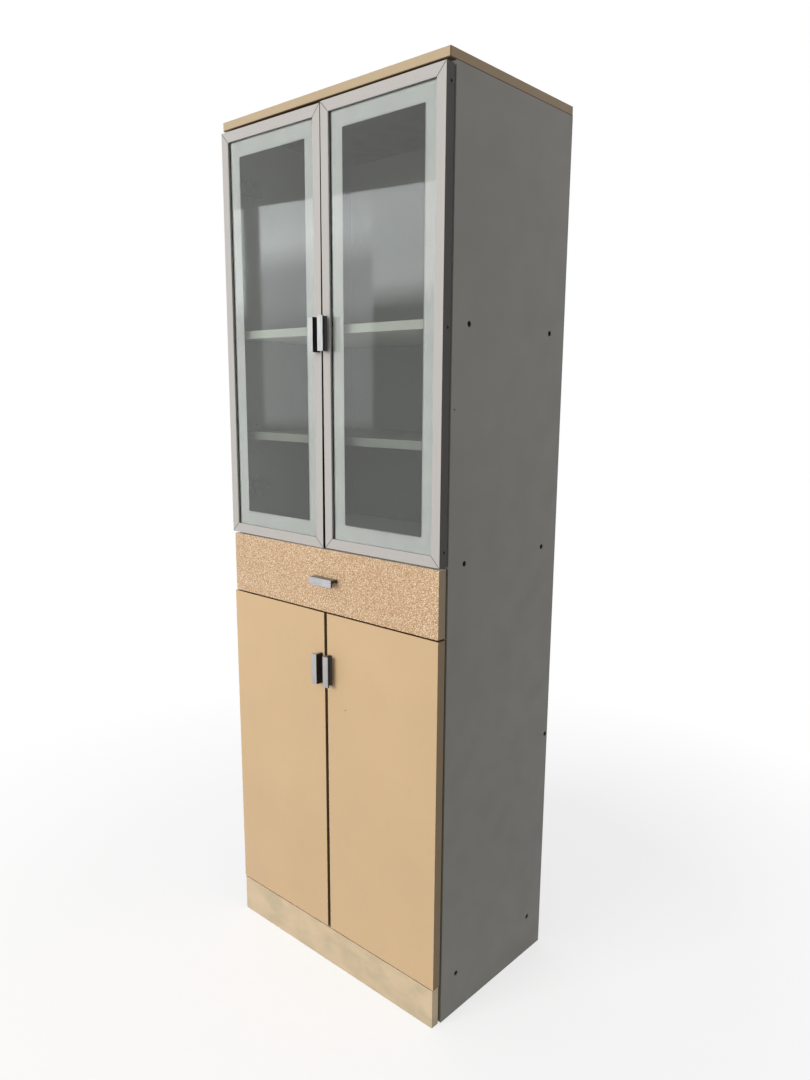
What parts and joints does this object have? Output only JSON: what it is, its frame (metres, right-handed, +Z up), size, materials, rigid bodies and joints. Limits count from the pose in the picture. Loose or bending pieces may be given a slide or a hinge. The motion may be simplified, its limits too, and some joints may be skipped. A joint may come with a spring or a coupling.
{
  "type": "kitchen cupboard",
  "caption": "Tall narrow kitchen cupboard: framed glass doors over fixed and loose shelves, a drawer on roller runners, and plain doors over a kick board.",
  "frame": {"origin": "on the floor under the centre of the whole outline, handles included", "axes": "+X to the right of someone facing the doors, +Y to the back, +Z up"},
  "size_m": [0.6004, 0.388, 1.76],
  "materials": {
    "grey_melamine": "satin grey melamine foil on particle board",
    "beige_melamine": "satin beige melamine foil on particle board",
    "crackle_laminate": "semi-gloss laminate with a fine gold-beige crackle",
    "marbled_laminate": "satin cream laminate with faint marbling",
    "white_melamine": "satin off-white melamine inside the cupboard",
    "hardboard": "thin painted hardboard",
    "softwood": "planed softwood",
    "zinc_steel": "zinc-plated steel",
    "dark_steel": "blackened steel screws",
    "runner_paint": "cream epoxy coat",
    "nylon": "white nylon",
    "soft_pad": "soft clear bumper",
    "aluminium_profile": "natural anodised, fine brushed",
    "gasket_rubber": "black glazing gasket",
    "pane_glass": "clear with a frosted border",
    "dark_handle": "dark satin coat",
    "brushed_face": "brushed bright strip"
  },
  "bodies": {
    "carcass": {"back_rail": "white_melamine", "bottom_board": "white_melamine", "carcass_screws": "dark_steel", "door_bumpers": "soft_pad", "hinge_arms": "zinc_steel", "hinge_mounting_plates": "zinc_steel", "hinge_plate_screws": "zinc_steel", "kick_board": "marbled_laminate", "kick_corner_blocks": "softwood", "lower_back_panel": "hardboard", "lower_loose_shelf": "white_melamine", "middle_board": "white_melamine", "runner_rails": "runner_paint", "shelf_pins": "zinc_steel", "side_panel_left": "grey_melamine", "side_panel_right": "grey_melamine", "top_board": "beige_melamine", "upper_back_panel": "hardboard", "upper_fixed_shelf": "white_melamine", "upper_loose_shelf": "white_melamine"},
    "upper_left_door": {"upper_left_bottom_rail": "aluminium_profile", "upper_left_centre_stile": "aluminium_profile", "upper_left_corner_brackets": "zinc_steel", "upper_left_frame_screws": "zinc_steel", "upper_left_gasket": "gasket_rubber", "upper_left_glass": "pane_glass", "upper_left_handle": "dark_handle", "upper_left_handle_face": "brushed_face", "upper_left_hinge_blocks": "zinc_steel", "upper_left_hinge_stile": "aluminium_profile", "upper_left_top_rail": "aluminium_profile"},
    "upper_right_door": {"upper_right_bottom_rail": "aluminium_profile", "upper_right_centre_stile": "aluminium_profile", "upper_right_corner_brackets": "zinc_steel", "upper_right_frame_screws": "zinc_steel", "upper_right_gasket": "gasket_rubber", "upper_right_glass": "pane_glass", "upper_right_handle": "dark_handle", "upper_right_handle_face": "brushed_face", "upper_right_hinge_blocks": "zinc_steel", "upper_right_hinge_stile": "aluminium_profile", "upper_right_top_rail": "aluminium_profile"},
    "lower_left_door": {"lower_left_door_panel": "beige_melamine", "lower_left_handle": "dark_handle", "lower_left_handle_face": "brushed_face", "lower_left_hinge_cups": "zinc_steel"},
    "lower_right_door": {"lower_right_door_panel": "beige_melamine", "lower_right_handle": "dark_handle", "lower_right_handle_face": "brushed_face", "lower_right_hinge_cups": "zinc_steel"},
    "cabinet_rollers": {"cabinet_rollers": "nylon"},
    "drawer_rollers": {"drawer_rollers": "nylon"},
    "drawer": {"drawer_back": "white_melamine", "drawer_bottom": "hardboard", "drawer_front": "crackle_laminate", "drawer_handle": "dark_handle", "drawer_handle_face": "brushed_face", "drawer_runners": "runner_paint", "drawer_side_left": "white_melamine", "drawer_side_right": "white_melamine"}
  },
  "joints": [
    {"name": "upper_left_door_swing", "type": "hinge", "parent": "carcass", "child": "upper_left_door", "pos_m": [-0.295, -0.16, 1.3315], "axis": [0, 0, -1], "range_deg": [0, 95]},
    {"name": "upper_right_door_swing", "type": "hinge", "parent": "carcass", "child": "upper_right_door", "pos_m": [0.295, -0.16, 1.3315], "axis": [0, 0, 1], "range_deg": [0, 95]},
    {"name": "lower_left_door_swing", "type": "hinge", "parent": "carcass", "child": "lower_left_door", "pos_m": [-0.295, -0.16, 0.43825], "axis": [0, 0, -1], "range_deg": [0, 95]},
    {"name": "lower_right_door_swing", "type": "hinge", "parent": "carcass", "child": "lower_right_door", "pos_m": [0.295, -0.16, 0.43825], "axis": [0, 0, 1], "range_deg": [0, 95]},
    {"name": "drawer_slide", "type": "slide", "parent": "carcass", "child": "drawer", "axis": [0, -1, 0], "range_m": [0, 0.24]},
    {"name": "cabinet_rollers_turn", "type": "hinge", "parent": "carcass", "child": "cabinet_rollers", "pos_m": [0, -0.138, 0.817], "axis": [1, 0, 0], "range_deg": [0, 1452]},
    {"name": "drawer_rollers_turn", "type": "hinge", "parent": "drawer", "child": "drawer_rollers", "pos_m": [0, 0.131, 0.817], "axis": [1, 0, 0], "range_deg": [0, 1452]}
  ],
  "couplings": [
    {"joint": "cabinet_rollers_turn", "follows": "drawer_slide", "rad_per_m": 105.26},
    {"joint": "drawer_rollers_turn", "follows": "drawer_slide", "rad_per_m": 105.26}
  ]
}
